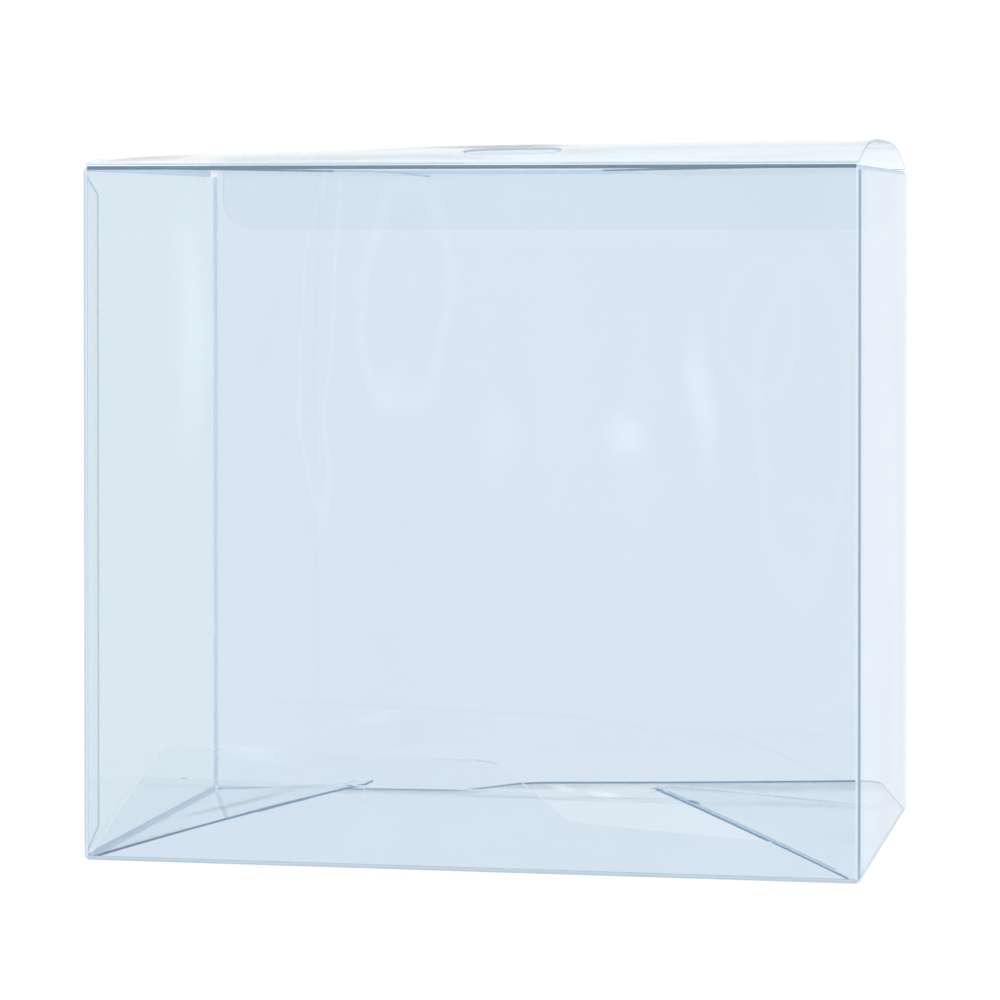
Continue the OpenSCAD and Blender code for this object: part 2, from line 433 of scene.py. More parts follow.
        # Paints the front sheet's reflections and highlights into its colour.
        if finish.painted_reflections:
            painted_reflections = nodes.new("ShaderNodeGroup")
            painted_reflections.node_tree = self.painted_reflections
            links.new(color, painted_reflections.inputs["Tint"])
            color = painted_reflections.outputs["Color"]
        links.new(color, body.inputs["Base Color"])
        if finish.ripple > 0:
            bump = nodes.new("ShaderNodeBump")
            bump.inputs["Strength"].default_value = 1.0
            bump.inputs["Distance"].default_value = finish.ripple
            links.new(sheen_and_ripple.outputs["Height"], bump.inputs["Height"])
            links.new(bump.outputs["Normal"], body.inputs["Normal"])
        clear = nodes.new("ShaderNodeBsdfTransparent")
        clear.inputs["Color"].default_value = (*(0.5 + 0.5 * c for c in finish.tint), 1.0)
        path = nodes.new("ShaderNodeLightPath")
        mix = nodes.new("ShaderNodeMixShader")
        links.new(path.outputs["Is Shadow Ray"], mix.inputs["Fac"])
        links.new(body.outputs["BSDF"], mix.inputs[1])
        links.new(clear.outputs["BSDF"], mix.inputs[2])
        links.new(mix.outputs["Shader"], output.inputs["Surface"])
        material.diffuse_color = (*finish.tint, 0.4)
        return material


class Bench:
    """Modelling moves that the parts share."""

    @staticmethod
    def clear_selection() -> None:
        """Deselects everything and leaves edit mode."""
        if bpy.context.object and bpy.context.object.mode != "OBJECT":
            bpy.ops.object.mode_set(mode="OBJECT")
        bpy.ops.object.select_all(action="DESELECT")

    @staticmethod
    def take(name: str) -> bpy.types.Object:
        """Names the primitive that was just added.

        Args:
            name: The piece's name.

        Returns:
            The piece.
        """
        piece = bpy.context.object
        piece.name = name
        piece.data.name = name
        return piece

    @staticmethod
    @contextmanager
    def editing(piece: bpy.types.Object) -> Iterator[None]:
        """Holds a piece in edit mode with all of it selected.

        Args:
            piece: The piece to edit.

        Returns:
            Nothing, once, while the piece is in edit mode.
        """
        Bench.clear_selection()
        piece.select_set(True)
        bpy.context.view_layer.objects.active = piece
        bpy.ops.object.mode_set(mode="EDIT")
        bpy.ops.mesh.select_all(action="SELECT")
        yield
        bpy.ops.object.mode_set(mode="OBJECT")

    @staticmethod
    def slice_grid(piece: bpy.types.Object, axis: int, start: float, stop: float, step: float) -> None:
        """Cuts a piece by evenly spaced planes.

        Args:
            piece: The piece to cut.
            axis: 0, 1 or 2 for planes across X, Y or Z.
            start: Place of the first edge of the piece on that axis.
            stop: Place of its last edge.
            step: Widest spacing of the cuts.
        """
        count = max(1, math.ceil((stop - start) / step))
        normal = [0.0, 0.0, 0.0]
        normal[axis] = 1.0
        with Bench.editing(piece):
            for i in range(1, count):
                spot = [0.0, 0.0, 0.0]
                spot[axis] = start + (stop - start) * i / count
                bpy.ops.mesh.select_all(action="SELECT")
                bpy.ops.mesh.bisect(plane_co=spot, plane_no=normal)

    @staticmethod
    def flat_sheet(name: str, outline: list[Point], step: float) -> bpy.types.Object:
        """Cuts a flat sheet with a given outline and lays a grid of cuts over it.

        Args:
            name: The piece's name.
            outline: Points of the outline.
            step: Widest spacing of the grid.

        Returns:
            The sheet at Z = 0, facing up.
        """
        Bench.clear_selection()
        bpy.ops.mesh.primitive_circle_add(vertices=len(outline), radius=0.05, fill_type="NGON")
        piece = Bench.take(name)
        for vertex, (x, y) in zip(piece.data.vertices, outline):
            vertex.co = (x, y, 0.0)
        piece.data.update()
        if piece.data.polygons[0].normal.z < 0:
            with Bench.editing(piece):
                bpy.ops.mesh.flip_normals()
        for axis in (0, 1):
            spots = [p[axis] for p in outline]
            Bench.slice_grid(piece, axis, min(spots), max(spots), step)
        return piece

    @staticmethod
    def shift(piece: bpy.types.Object, move: Callable[[Vector], Vector]) -> None:
        """Moves every point of a piece by a rule.

        Args:
            piece: The piece to shape.
            move: Gives a point's new place from its old one.
        """
        for vertex in piece.data.vertices:
            vertex.co = move(vertex.co.copy())
        piece.data.update()

    @staticmethod
    def thicken(piece: bpy.types.Object, thickness: float, outward: bool) -> None:
        """Gives a sheet its thickness.

        Args:
            piece: The sheet.
            thickness: Its thickness.
            outward: True to grow along the faces' normals, False to grow against them.
        """
        Bench.clear_selection()
        piece.select_set(True)
        bpy.context.view_layer.objects.active = piece
        wall = piece.modifiers.new("thickness", "SOLIDIFY")
        wall.thickness = thickness
        wall.offset = 1.0 if outward else -1.0
        wall.use_even_offset = True
        bpy.ops.object.modifier_apply(modifier=wall.name)

    @staticmethod
    def cut(piece: bpy.types.Object, cutter: bpy.types.Object, name: str) -> None:
        """Cuts a hole with a cutter, which is used up.

        Args:
            piece: The piece to cut.
            cutter: The cutter.
            name: The hole's name.
        """
        Bench.clear_selection()
        piece.select_set(True)
        bpy.context.view_layer.objects.active = piece
        hole = piece.modifiers.new(name, "BOOLEAN")
        hole.operation = "DIFFERENCE"
        hole.solver = "EXACT"
        hole.object = cutter
        bpy.ops.object.modifier_apply(modifier=hole.name)
        bpy.data.objects.remove(cutter)

    @staticmethod
    def smooth(piece: bpy.types.Object, angle: float = 30.0) -> None:
        """Shades a piece smooth across shallow edges.

        Args:
            piece: The piece.
            angle: Widest angle that still shades smooth.
        """
        Bench.clear_selection()
        piece.select_set(True)
        bpy.context.view_layer.objects.active = piece
        bpy.ops.object.shade_smooth_by_angle(angle=math.radians(angle))

    @staticmethod
    def bend(name: str, length: float, radius: float, start: float, stop: float) -> bpy.types.Object:
        """Makes a bent strip of sheet along X, as a sector of a tube without thickness.

        Args:
            name: The piece's name.
            length: Its length.
            radius: Outside radius of the bend.
            start: Angle at which the section starts, where 0 is +Y and 90 is +Z.
            stop: Angle at which it ends.

        Returns:
            The strip, with its middle at the origin.
        """
        Bench.clear_selection()
        steps = max(4, round((stop - start) / BEND_STEP))
        cells = max(2, round(length / STRIP_STEP))
        bpy.ops.mesh.primitive_grid_add(x_subdivisions=cells, y_subdivisions=steps, size=1.0)
        strip = Bench.take(name)

        def roll(p: Vector) -> Vector:
            """Rolls the flat strip around the X axis.

            Args:
                p: A point of the flat piece.

            Returns:
                Its new place.
            """
            turn = math.radians(start + (stop - start) * (p.y + 0.5))
            return Vector((p.x * length, radius * math.cos(turn), radius * math.sin(turn)))

        Bench.shift(strip, roll)
        middle = strip.data.polygons[len(strip.data.polygons) // 2]
        if middle.normal.dot(Vector((0.0, middle.center.y, middle.center.z))) < 0:
            with Bench.editing(strip):
                bpy.ops.mesh.flip_normals()
        return strip

    @staticmethod
    def place(piece: bpy.types.Object, matrix: Matrix) -> None:
        """Puts a piece in its place and keeps its object at the origin.

        Args:
            piece: The piece.
            matrix: Where its points go.
        """
        piece.data.transform(matrix)
        piece.data.update()


def arc(x: float, y: float, r: float, a0: float, a1: float, n: int = 12) -> list[Point]:
    """Gives the points of an arc.

    Args:
        x: Middle of the arc on X.
        y: Middle of the arc on Y.
        r: Radius.
        a0: Angle of the first point.
        a1: Angle of the last point.
        n: Number of steps.

    Returns:
        The points from a0 to a1.
    """
    turns = [math.radians(a0 + (a1 - a0) * i / n) for i in range(n + 1)]
    return [(x + r * math.cos(t), y + r * math.sin(t)) for t in turns]


@dataclass
class SheetPart:
    """What every part of the sheet shares.

    Attributes:
        sizes: Sizes of the case.
        shelf: Where its finishes come from.
        body: The moving body that its pieces ride on.
    """

    sizes: CaseSizes
    shelf: FinishShelf
    body: str = "case"
    pieces: list[bpy.types.Object] = field(default_factory=list)

    def dress(self, piece: bpy.types.Object, face: Film, rim: Film = Film.BRIGHT_EDGE) -> None:
        """Gives a thickened sheet its film, and its narrow rim faces the finish of a cut edge, a painted
        shade line.

        Args:
            piece: The piece.
            face: Finish of its broad faces.
            rim: Finish of its cut edges.
        """
        piece.data.materials.clear()
        piece.data.materials.append(self.shelf.get(face))
        piece.data.materials.append(self.shelf.get(rim))
        for polygon in piece.data.polygons:
            corners = [piece.data.vertices[i].co for i in polygon.vertices]
            sides = [(corners[i] - corners[i - 1]).length for i in range(len(corners))]
            upright = [abs(s - self.sizes.sheet) < 0.3 * self.sizes.sheet for s in sides]
            is_rim = len(corners) == 4 and sum(upright) >= 2 and abs(sides[0] - sides[2]) < 1e-4
            polygon.material_index = 1 if is_rim else 0

    def keep(self, piece: bpy.types.Object) -> bpy.types.Object:
        """Rides a finished piece on its body and logs it.

        Args:
            piece: The piece.

        Returns:
            The same piece.
        """
        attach(piece, self.body)
        self.pieces.append(piece)
        LOG.info("%s: %d faces on %s", piece.name, len(piece.data.polygons), self.body)
        return piece

    def crease(self, name: str, length: float, start: float, stop: float, where: Matrix,
               film: Film = Film.CREASE) -> bpy.types.Object:
        """Makes a bent crease of the sheet, dressed with a finish that paints its shade as a partly opaque
        line.

        Args:
            name: The piece's name.
            length: Its length.
            start: Angle at which the bend starts.
            stop: Angle at which it ends.
            where: Its place.
            film: Its finish.

        Returns:
            The crease.
        """
        strip = Bench.bend(name, length, self.sizes.crease, start, stop)
        Bench.thicken(strip, self.sizes.sheet, outward=False)
        Bench.place(strip, where)
        self.dress(strip, film, film)
        Bench.smooth(strip)
        return self.keep(strip)


SLEEVE_FILMS = (Film.WALL, Film.SIDE_LEFT, Film.SOFT_CREASE, Film.BRIGHT_EDGE, Film.FRONT,
                Film.SIDE_RIGHT, Film.FIRM_CREASE, Film.FAINT_CREASE, Film.CREASE_FLANK)


@dataclass
class WallSleeve(SheetPart):
    """The four walls, with rounded upright creases and a slight bow in each wall.

    Attributes:
        cell: Spacing of the cuts over the walls.
        bow: How far the middle of a wide wall stands proud.
        wave: Height of the slow waves in the walls.
    """

    cell: float = 0.010
    bow: float = 0.0005
    wave: float = 0.00018

    def build(self) -> bpy.types.Object:
        """Builds the sleeve.

        Returns:
            The walls as one piece.
        """
        s = self.sizes
        Bench.clear_selection()
        foot, top = s.crease, s.height
        bpy.ops.mesh.primitive_cube_add(size=1.0, location=(0.0, 0.0, 0.0))
        walls = Bench.take("walls")
        with Bench.editing(walls):
            bpy.ops.transform.resize(value=(s.width, s.depth, top - foot))
            bpy.ops.transform.translate(value=(0.0, 0.0, (top + foot) / 2))
        self._open_ends(walls)
        self._round_corners(walls)
        Bench.slice_grid(walls, 2, foot, top - s.crease, self.cell)
        with Bench.editing(walls):
            bpy.ops.mesh.bisect(plane_co=(0, 0, top - s.crease), plane_no=(0, 0, 1))
        Bench.slice_grid(walls, 0, -s.half_w, s.half_w, self.cell)
        Bench.slice_grid(walls, 1, -s.half_d, s.half_d, self.cell)
        self._notch_top(walls)
        self._assign(walls)
        Bench.shift(walls, self._bowed)
        Bench.thicken(walls, s.sheet, outward=False)
        # The cut top and bottom edges get the lighter painted edge shade.
        for polygon in walls.data.polygons:
            if abs(polygon.normal.z) > 0.9:
                polygon.material_index = SLEEVE_FILMS.index(Film.BRIGHT_EDGE)
        Bench.smooth(walls, 40.0)
        return self.keep(walls)

    def _open_ends(self, walls: bpy.types.Object) -> None:
        """Takes off the block's top and bottom faces.

        Args:
            walls: The sleeve.
        """
        with Bench.editing(walls):
            mesh = bmesh.from_edit_mesh(walls.data)
            bpy.ops.mesh.select_all(action="DESELECT")
            bpy.ops.mesh.select_mode(type="FACE")
            for face in mesh.faces:
                face.select_set(abs(face.normal.z) > 0.5)
            bmesh.update_edit_mesh(walls.data)
            bpy.ops.mesh.delete(type="ONLY_FACE")

    def _round_corners(self, walls: bpy.types.Object) -> None:
        """Bevels the four upright edges.

        Args:
            walls: The sleeve.
        """
        with Bench.editing(walls):
            bpy.ops.mesh.select_mode(type="EDGE")
            bpy.ops.mesh.select_all(action="DESELECT")
            mesh = bmesh.from_edit_mesh(walls.data)
            for edge in mesh.edges:
                a, b = edge.verts
                edge.select_set(abs(a.co.z - b.co.z) > 0.01)
            bmesh.update_edit_mesh(walls.data)
            bpy.ops.mesh.bevel(offset=self.sizes.crease, segments=6, affect="EDGES")

    def _notch_top(self, walls: bpy.types.Object) -> None:
        """Cuts the side walls and the corners down by one crease radius.

        Args:
            walls: The sleeve.
        """
        s = self.sizes
        with Bench.editing(walls):
            bpy.ops.mesh.select_mode(type="FACE")
            bpy.ops.mesh.select_all(action="DESELECT")
            mesh = bmesh.from_edit_mesh(walls.data)
            for face in mesh.faces:
                middle = face.calc_center_median()
                face.select_set(middle.z > s.height - s.crease and abs(face.normal.y) < 0.999)
            bmesh.update_edit_mesh(walls.data)
            bpy.ops.mesh.delete(type="FACE")

    def _assign(self, walls: bpy.types.Object) -> None:
        """Gives the wide walls, the side walls and the corners their finishes; the corners get painted
        shade, darkest on the right front corner, lighter on the left front corner and the flanks of both
        front corners, faintest at the back.

        Args:
            walls: The sleeve.
        """
        walls.data.materials.clear()
        for film in SLEEVE_FILMS:
            walls.data.materials.append(self.shelf.get(film))
        for polygon in walls.data.polygons:
            normal = polygon.normal
            if abs(normal.y) > 0.999:
                film = Film.WALL if normal.y > 0 else Film.FRONT
            elif abs(normal.x) > 0.999:
                film = Film.SIDE_LEFT if normal.x < 0 else Film.SIDE_RIGHT
            else:
                turn = math.degrees(math.atan2(abs(normal.x), abs(normal.y)))
                # Painted shade on the corners, set by which way each corner face turns.
                film = Film.FIRM_CREASE if normal.x > 0 else Film.SOFT_CREASE
                film = film if 30 < turn < 75 else Film.CREASE_FLANK
                film = Film.FAINT_CREASE if normal.y > 0 else film
            polygon.material_index = SLEEVE_FILMS.index(film)

    def _bowed(self, p: Vector) -> Vector:
        """Bows and ripples the walls between their creases.

        Args:
            p: A point of the walls.

        Returns:
            Its new place.
        """
        s = self.sizes
        up = math.sin(math.pi * min(1.0, max(0.0, p.z / s.height)))
        across = math.sin(math.pi * (p.x / s.width + 0.5))
        along = math.sin(math.pi * (p.y / s.depth + 0.5))
        if abs(abs(p.y) - s.half_d) < 1e-5:
            side = math.copysign(1.0, p.y)
            slow = math.sin(38 * p.x + 11 * p.z + side) * math.sin(24 * p.z + 9 * p.x)
            p.y += side * across * (self.bow * up + self.wave * up * slow)
        elif abs(abs(p.x) - s.half_w) < 1e-5:
            side = math.copysign(1.0, p.x)
            slow = math.sin(44 * p.y + 13 * p.z) * math.sin(21 * p.z + side)
            p.x += side * along * (0.5 * self.bow * up + self.wave * up * slow)
        return p


@dataclass
class SeamFlap(SheetPart):
    """Glue flap inside the left wall.

    Attributes:
        reach: Its width.
        bevel: Bevel at both of its ends.
    """

    reach: float = 0.010
    bevel: float = 0.005

    def build(self) -> bpy.types.Object:
        """Builds the flap.

        Returns:
            The glue flap.
        """
        s = self.sizes
        low, high = 2 * s.crease, s.height - 2 * s.crease
        outline = [(0.0, low), (self.reach, low + self.bevel),
                   (self.reach, high - self.bevel), (0.0, high)]
        flap = Bench.flat_sheet("glue_flap", outline, 0.01)
        Bench.thicken(flap, s.sheet, outward=True)
        start = -s.half_w + s.sheet + 0.00005
        Bench.shift(flap, lambda p: Vector((start + p.z, -s.half_d + s.crease + p.x, p.y)))
        self.dress(flap, Film.GLUED)
        Bench.smooth(flap)
        return self.keep(flap)


@dataclass
class DustFlap(SheetPart):
    """A dust flap on the top crease of a side wall.

    Attributes:
        length: Its length from the wall.
        droop: Angle by which it hangs.
        front_gap: Gap to the front wall.
        back_gap: Gap to the back wall.
        corner: Radius of its free corners.
    """

    length: float = 0.066
    droop: float = 1.0
    front_gap: float = 0.001
    back_gap: float = 0.005
    corner: float = 0.005

    def build(self, side: int) -> bpy.types.Object:
        """Builds one flap with its crease.

        Args:
            side: -1 for the left wall, 1 for the right wall.

        Returns:
            The flap.
        """
        s, r = self.sizes, self.corner
        word = "left" if side < 0 else "right"
        front = -s.half_d + self.front_gap + s.sheet
        back = s.half_d - self.back_gap - s.sheet
        outline = [(0.0, front), *arc(self.length - r, front + r, r, -90, 0),
                   *arc(self.length - r, back - r, r, 0, 90), (0.0, back)]
        flap = Bench.flat_sheet(f"dust_flap_{word}", outline, FLAP_CELL)
        slope = math.tan(math.radians(self.droop))

        def hang(p: Vector) -> Vector:
            """Lets the flap hang and curl a little toward its free end.

            Args:
                p: A point of the flat piece.

            Returns:
                Its new place.
            """
            curl = 0.0006 * math.sin(math.pi * (p.y - front) / (back - front))
            rise = curl * p.x / self.length
            return Vector((p.x, p.y, s.height - s.sheet - slope * p.x + rise))

        Bench.shift(flap, hang)
        Bench.thicken(flap, s.sheet, outward=True)
        start = -s.half_w + s.crease
        Bench.place(flap, Matrix.Translation((start, 0.0, 0.0)))
        spot = Matrix.Translation((start, (front + back) / 2, s.height - s.crease))
        turn = Matrix.Rotation(math.radians(90), 4, "Z")
        flip = Matrix.Identity(4)
        if side > 0:
            flip = Matrix.Rotation(math.radians(180), 4, "Z")
            shift_back = Matrix.Translation((0.0, front + back, 0.0))
            flip = shift_back @ flip
        self.crease(f"top_crease_{word}", back - front, 0, 90 + self.droop, flip @ spot @ turn,
                    Film.FAINT_CREASE)
        Bench.place(flap, flip)
        self.dress(flap, Film.FLAP)
        # The front-facing cut edge gets the darker painted edge shade.
        flap.data.materials.append(self.shelf.get(Film.EDGE))
        for polygon in flap.data.polygons:
            if polygon.material_index == 1 and polygon.normal.y < -0.5:
                polygon.material_index = 2
        Bench.smooth(flap)
        return self.keep(flap)


@dataclass
class LockingBottom(SheetPart):
    """Half of the self-locking bottom: a wide hooked flap, a side flap and its glue tongue.

    Attributes:
        deep: Reach of the wide flap's deep end.
        shallow: Reach of its cut-back end.
        hook_angle: Slant of the hook's edge.
        hook_r: Radius of the hook's corners.
        slope: Slope of the cut-back edge.
        gap: Gap between the two hooks.
        wall_gap: Gap between a flap and the walls beside it.
        corner: Radius of the deep corner beside the wall.
        clear_from: Reach from which the wide flap gets the lighter far film, painted light so that it looks
            clear against the back wall.
        side_reach: Reach of the side flap.
        tongue: Width of the glue tongue's far end.
        rises: Angles of the wide flap at its deep end, its middle and its cut-back end.
        side_rises: Angles of the side flap at its back and its glued front.
        vent: Diameter of the vent hole in the side flap, or 0 for none.
        vent_at: Place of the vent hole, along the crease and up the side flap.
        edge_shade_lines: Bands of painted shade that draw the dark double line along the side flap's slanted
            front edge, each with its name, its inset from
        that edge, the shares of the flap's reach at its ends, and its width.
        label: Word for the wide flap in the pieces' names.
        turned: True for the half on the back wall and the right wall.
    """

    deep: float = 0.077
    shallow: float = 0.025
    hook_angle: float = 57.0
    hook_r: float = 0.014
    slope: float = 10.0
    gap: float = 0.0004
    wall_gap: float = 0.0006
    corner: float = 0.007
    clear_from: float = 0.0555
    side_reach: float = 0.063
    tongue: float = 0.012
    rises: tuple[float, float, float] = (15.4, 14.0, 14.6)
    side_rises: tuple[float, float] = (9.5, 14.0)
    vent: float = 0.0
    vent_at: Point = (-0.011, 0.050)
    edge_shade_lines: tuple[tuple[str, float, float, float, float], ...] = (
        ("slant_edge_shade", 0.0004, 0.05, 0.98, 0.0012), ("slant_edge_thin_shade", -0.0042, 0.62, 0.80, 0.0007))
    label: str = "front"
    turned: bool = False

    def _outline(self) -> list[Point]:
        """Gives the outline of the wide flap, with X along its crease.

        Returns:
            The points, from the deep end to the cut-back end.
        """
        s = self.sizes
        sin, cos, tan = (f(math.radians(self.hook_angle)) for f in (math.sin, math.cos, math.tan))
        fall = math.tan(math.radians(self.slope))
        right = s.half_w - s.sheet - self.wall_gap
        deep_y, end_y = self.deep - s.crease, self.shallow - s.crease
        mid_x = -self.gap / 2 / sin
        mid_y = (s.half_d - s.crease) / math.cos(math.radians(self.rises[1]))
        top_y = deep_y - self.hook_r + self.hook_r * cos
        top_x = mid_x - (top_y - mid_y) / tan - self.hook_r * sin
        rise = end_y + (right - end_y) * fall + self.hook_r / math.cos(math.radians(self.slope))
        low_x = (self.hook_r + mid_x * sin - (rise - mid_y) * cos) / (sin - cos * fall)
        low_y = rise - low_x * fall
        return [(-right, 0.0),
                *arc(self.corner - right, deep_y - self.corner, self.corner, 180, 90),
                *arc(top_x, deep_y - self.hook_r, self.hook_r, 90, 90 - self.hook_angle),
                *arc(low_x, low_y, self.hook_r, 270 - self.hook_angle, 270 - self.slope),
                (right - end_y, end_y), (right, 0.0)]

    def _rise_at(self, x: float) -> float:
        """Gives the wide flap's angle at a place along its crease.

        Args:
            x: Place along the crease.

        Returns:
            The angle in radians.
        """
        u = x / self.sizes.half_w
        deep, middle, shallow = self.rises
        bowed = middle + u * (shallow - deep) / 2 + u * u * ((shallow + deep) / 2 - middle)
        return math.radians(bowed)

    def _raised(self, p: Vector, angle: float, drop: float = 0.0) -> Vector:
        """Puts a point of a flat flap on its risen place beside the front crease.

        Args:
            p: The point, with Y up the flap.
            angle: The flap's angle in radians.
            drop: How far the point lies under the flap.

        Returns:
            Its place, counted from the wall's outer face.
        """
        r = self.sizes.crease
        y = r + p.y * math.cos(angle) + (r + drop) * math.sin(angle)
        z = r + p.y * math.sin(angle) - (r + drop) * math.cos(angle)
        return Vector((p.x, y, z))

    def build(self) -> None:
        """Builds the wide flap, the side flap, the glue tongue and their creases."""
        s = self.sizes
        half = Matrix.Rotation(math.radians(180 if self.turned else 0), 4, "Z")
        self._wide(half @ Matrix.Translation((0.0, -s.half_d, 0.0)))
        self._tongue(half @ Matrix.Translation((0.0, -s.half_d, 0.0)))
        turn = Matrix.Rotation(math.radians(-90), 4, "Z")
        self._side(half @ Matrix.Translation((-s.half_w, 0.0, 0.0)) @ turn)

    def _wide(self, where: Matrix) -> None:
        """Builds the wide flap and its crease.

        Args:
            where: Its place.
        """
        s = self.sizes
        flap = Bench.flat_sheet(f"wide_flap_{self.label}", self._outline(), 0.0055)
        # Painted light: the far part of the flap gets a lighter copy of its film.
        far = [polygon.center.y > self.clear_from for polygon in flap.data.polygons]
        Bench.shift(flap, lambda p: self._raised(p, self._rise_at(p.x)))
        Bench.thicken(flap, s.sheet, outward=True)
        Bench.place(flap, where)
        self.dress(flap, Film.BOTTOM, Film.EDGE if self.turned else Film.FAR)
        flap.data.materials.append(self.shelf.get(Film.FAR))
        for polygon, is_far in zip(flap.data.polygons, far + far):
            if is_far and polygon.material_index == 0:
                polygon.material_index = 2
        Bench.smooth(flap)
        self.keep(flap)
        spot = Matrix.Translation((0.0, s.crease, s.crease))
        length = s.width - 2 * (s.sheet + self.wall_gap)
        film = Film.FAINT_CREASE if self.turned else Film.SOFT_CREASE
        self.crease(f"foot_crease_{self.label}", length, 180, 270 + self.rises[1], where @ spot, film)

    def _tongue(self, where: Matrix) -> None:
        """Builds the glue tongue under the wide flap.

        Args:
            where: Its place.
        """
        s = self.sizes
        reach = (self.side_reach - s.crease) * math.cos(math.radians(self.side_rises[1]))
        start, left = 2.4 * s.crease, -s.half_w
        far = left + reach + self.tongue / 2
        outline = [(left + 2 * start, start), (left + reach, reach), (far, reach - self.tongue),
                   (far, self.tongue), (left + reach - self.tongue / 2, start)]
        tongue = Bench.flat_sheet(f"glue_tongue_{self.label}", outline, FLAP_CELL)
        Bench.shift(tongue, lambda p: self._raised(p, self._rise_at(p.x), s.sheet + 0.0002))
        Bench.thicken(tongue, s.sheet, outward=True)
        Bench.place(tongue, where)
        self.dress(tongue, Film.GLUED, Film.GLUED)
        Bench.smooth(tongue)
        self.keep(tongue)

    def _edge_shade_line(self, name: str, spine: list[Point], width: float,
              rise: Callable[[Vector], Vector], where: Matrix) -> None:
        """Lays a dark band of painted shade along a line beside the side flap's slanted cut edge.

        Args:
            name: The piece's name.
            spine: Both ends of the line, on the flat flap.
            width: Width of the band.
            rise: Gives the risen place of a point of the flat flap.
            where: The flap's place.
        """
        (x0, y0), (x1, y1) = spine
        run = math.hypot(x1 - x0, y1 - y0)
        across = Vector((y0 - y1, x1 - x0)) * (width / 2 / run)
        ends = [Vector((x0, y0)), Vector((x1, y1))]
        outline = [tuple(p + side * across) for side, order in ((1, ends), (-1, ends[::-1])) for p in order]
        band = Bench.flat_sheet(name, outline, FLAP_CELL)
        Bench.shift(band, lambda p: rise(p) + Vector((0.0, 0.0, 0.0001)))
        Bench.thicken(band, self.sizes.sheet, outward=True)
        Bench.place(band, where)
        self.dress(band, Film.FOLD, Film.FOLD)
        Bench.smooth(band)
        self.keep(band)

    def _side(self, where: Matrix) -> None:
        """Builds the side flap, its painted edge shade lines, its crease and its vent hole.

        Args:
            where: Its place.
        """
        s = self.sizes
        corner = s.half_d - s.sheet - self.wall_gap
        top = self.side_reach - s.crease
        reach = top * math.cos(math.radians(self.side_rises[1]))
        outline = [(-corner, 0.0), (reach - corner, top), (corner - reach, top), (corner, 0.0)]
        word = "right" if self.turned else "left"
        flap = Bench.flat_sheet(f"side_flap_{word}", outline, FLAP_CELL)

        def rise(p: Vector) -> Vector:
            """Raises a point by the flap's angle at its place along the crease.

            Args:
                p: A point of the flat piece.

            Returns:
                Its new place.
            """
            share = (p.x + corner) / (2 * corner)
            back, front = self.side_rises
            return self._raised(p, math.radians(back + (front - back) * share))

        Bench.shift(flap, rise)
        Bench.thicken(flap, s.sheet, outward=True)
        if self.vent > 0:
            x, y = self.vent_at
            Bench.clear_selection()
            bpy.ops.mesh.primitive_cylinder_add(vertices=24, radius=self.vent / 2, depth=0.02,
                                                location=rise(Vector((x, y, 0.0))))
            cutter = Bench.take("vent_cutter")
            Bench.cut(flap, cutter, "vent")
        Bench.place(flap, where)
        self.dress(flap, Film.BOTTOM, Film.EDGE)
        Bench.smooth(flap)
        self.keep(flap)
        front = -1.0 if self.turned else 1.0
        # Painted shade: dark bands that draw the double line along the slanted cut edge.
        for name, inset, start, stop, width in self.edge_shade_lines:
            spine = [(front * (corner - inset - t * reach), t * top) for t in (start, stop)]
            self._edge_shade_line(f"{name}_{word}", spine, width, rise, where)
        spot = Matrix.Translation((0.0, s.crease, s.crease))
        self.crease(f"foot_crease_{word}", 2 * corner, 180, 270 + sum(self.side_rises) / 2,
                    where @ spot, Film.FAINT_CREASE)


